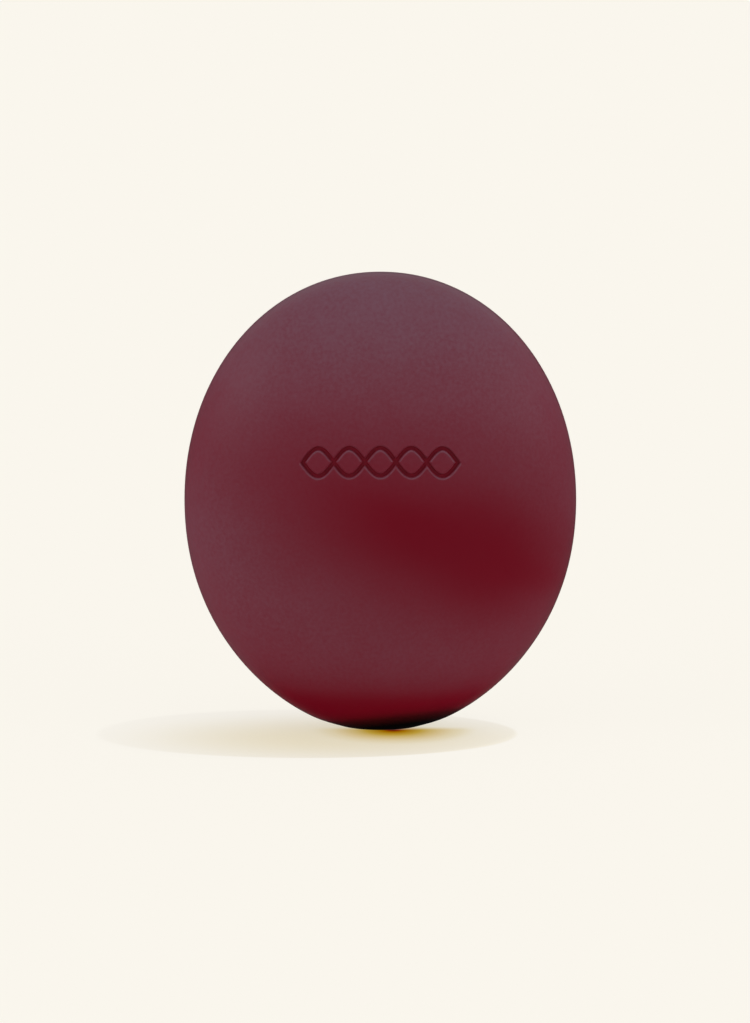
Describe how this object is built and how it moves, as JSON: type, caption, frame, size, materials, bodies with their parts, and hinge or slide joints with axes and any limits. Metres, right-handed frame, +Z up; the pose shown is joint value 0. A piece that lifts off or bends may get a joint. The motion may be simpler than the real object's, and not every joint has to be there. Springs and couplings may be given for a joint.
{
  "type": "rosin cake",
  "caption": "Oval pebble of cast dark red rosin for string bows, smooth on both broad faces, standing on a small flat ground on the lower end of its oval.",
  "frame": {"origin": "middle of the stand flat, on the surface that the cake stands on", "axes": "+Z up along the oval's long axis, -Y out of the front face, +Y out of the back face, X across the oval"},
  "size_m": [0.0422, 0.021, 0.05],
  "materials": {
    "rosin": "satin"
  },
  "bodies": {
    "root": {"rosin_cake": "rosin"}
  },
  "joints": []
}
